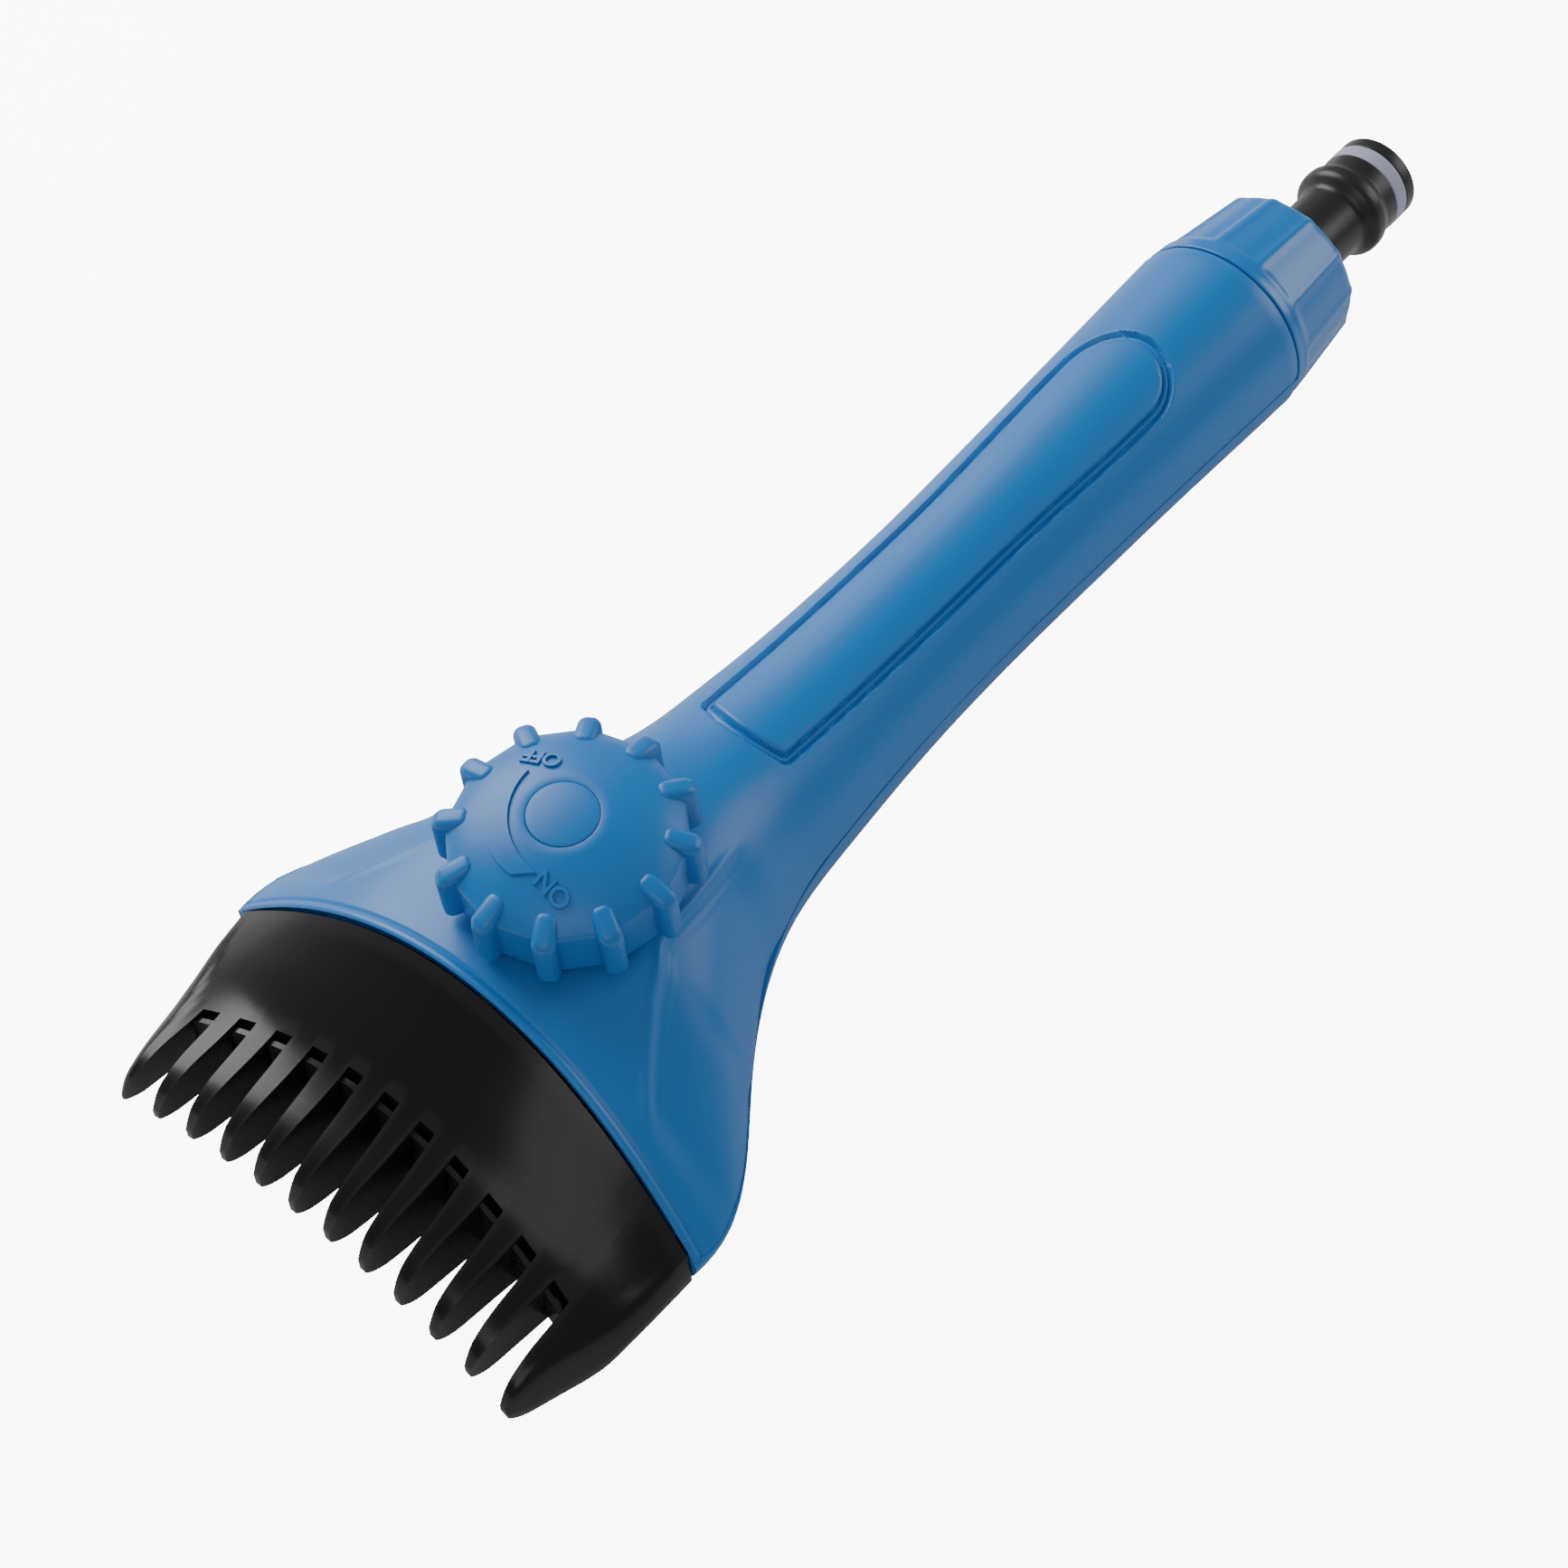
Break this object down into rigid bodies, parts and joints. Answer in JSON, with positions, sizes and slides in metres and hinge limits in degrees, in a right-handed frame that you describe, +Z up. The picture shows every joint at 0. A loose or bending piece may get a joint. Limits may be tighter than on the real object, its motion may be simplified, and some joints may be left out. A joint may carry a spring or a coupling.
{
  "type": "filter cartridge cleaning comb wand",
  "caption": "Hand-held hose-fed rinsing wand with a curved jet comb, a turn-knob shut-off valve and a screwed quick-connect hose spigot.",
  "frame": {"origin": "below the middle of the wand at the height of its lowest point, centre of its bounding box in X and Y", "axes": "+X along the handle to the open end of the hose spigot, +Y across the comb, +Z up to the valve knob"},
  "size_m": [0.2662, 0.0926, 0.0553],
  "materials": {
    "blue_shell": "satin moulded plastic, mid blue",
    "blue_knob": "satin moulded plastic, mid blue",
    "blue_collar": "satin moulded plastic, mid blue, fluted",
    "black_comb": "semi-gloss moulded plastic, black",
    "black_fitting": "satin moulded plastic, black",
    "grey_rubber": "smooth pale grey sealing rubber",
    "black_rubber": "smooth black sealing rubber",
    "grey_plastic": "satin acetal, grey",
    "white_plastic": "satin acetal, off-white",
    "spindle_plastic": "smooth acetal, pale grey",
    "screw_steel": "plain stainless steel",
    "screen_steel": "perforated stainless steel"
  },
  "bodies": {
    "handle_body": {"handle_upper_shell": "blue_shell", "handle_lower_shell": "blue_shell", "handle_screws": "screw_steel", "comb_upper_shell": "black_comb", "comb_lower_shell": "black_comb", "comb_gasket": "black_rubber", "comb_screws": "screw_steel", "head_screws": "screw_steel", "diffuser_plate": "white_plastic", "inlet_tube": "white_plastic", "inlet_tube_o_rings": "black_rubber", "outlet_tube": "white_plastic", "outlet_tube_o_rings": "black_rubber", "valve_body": "grey_plastic", "valve_body_screws": "screw_steel", "valve_seats": "grey_rubber", "valve_bottom_cap": "grey_plastic", "valve_cap_o_ring": "black_rubber", "thrust_washer": "white_plastic", "inlet_nipple": "grey_plastic", "inlet_screen": "screen_steel"},
    "knob_body": {"valve_spindle": "spindle_plastic", "spindle_o_rings": "black_rubber", "knob": "blue_knob", "knob_cap": "blue_knob", "knob_screw": "screw_steel"},
    "spigot_body": {"spigot_washer": "black_rubber", "hose_spigot": "black_fitting", "spigot_seal": "grey_rubber"},
    "nut_body": {"collar_nut": "blue_collar"}
  },
  "joints": [
    {"name": "knob_turn", "type": "hinge", "parent": "handle_body", "child": "knob_body", "pos_m": [-0.07501, 0, 0.05067], "axis": [-0.0724, 0, 0.9974], "range_deg": [0, 90]},
    {"name": "spigot_release", "type": "slide", "parent": "handle_body", "child": "spigot_body", "axis": [1, 0, 0], "range_m": [0, 0.006]},
    {"name": "collar_unscrew", "type": "hinge", "parent": "spigot_body", "child": "nut_body", "pos_m": [0.09715, 0, 0.02064], "axis": [1, 0, 0], "range_deg": [0, 1080]}
  ],
  "couplings": [
    {"joint": "spigot_release", "follows": "collar_unscrew", "m_per_rad": 0.00031831}
  ]
}
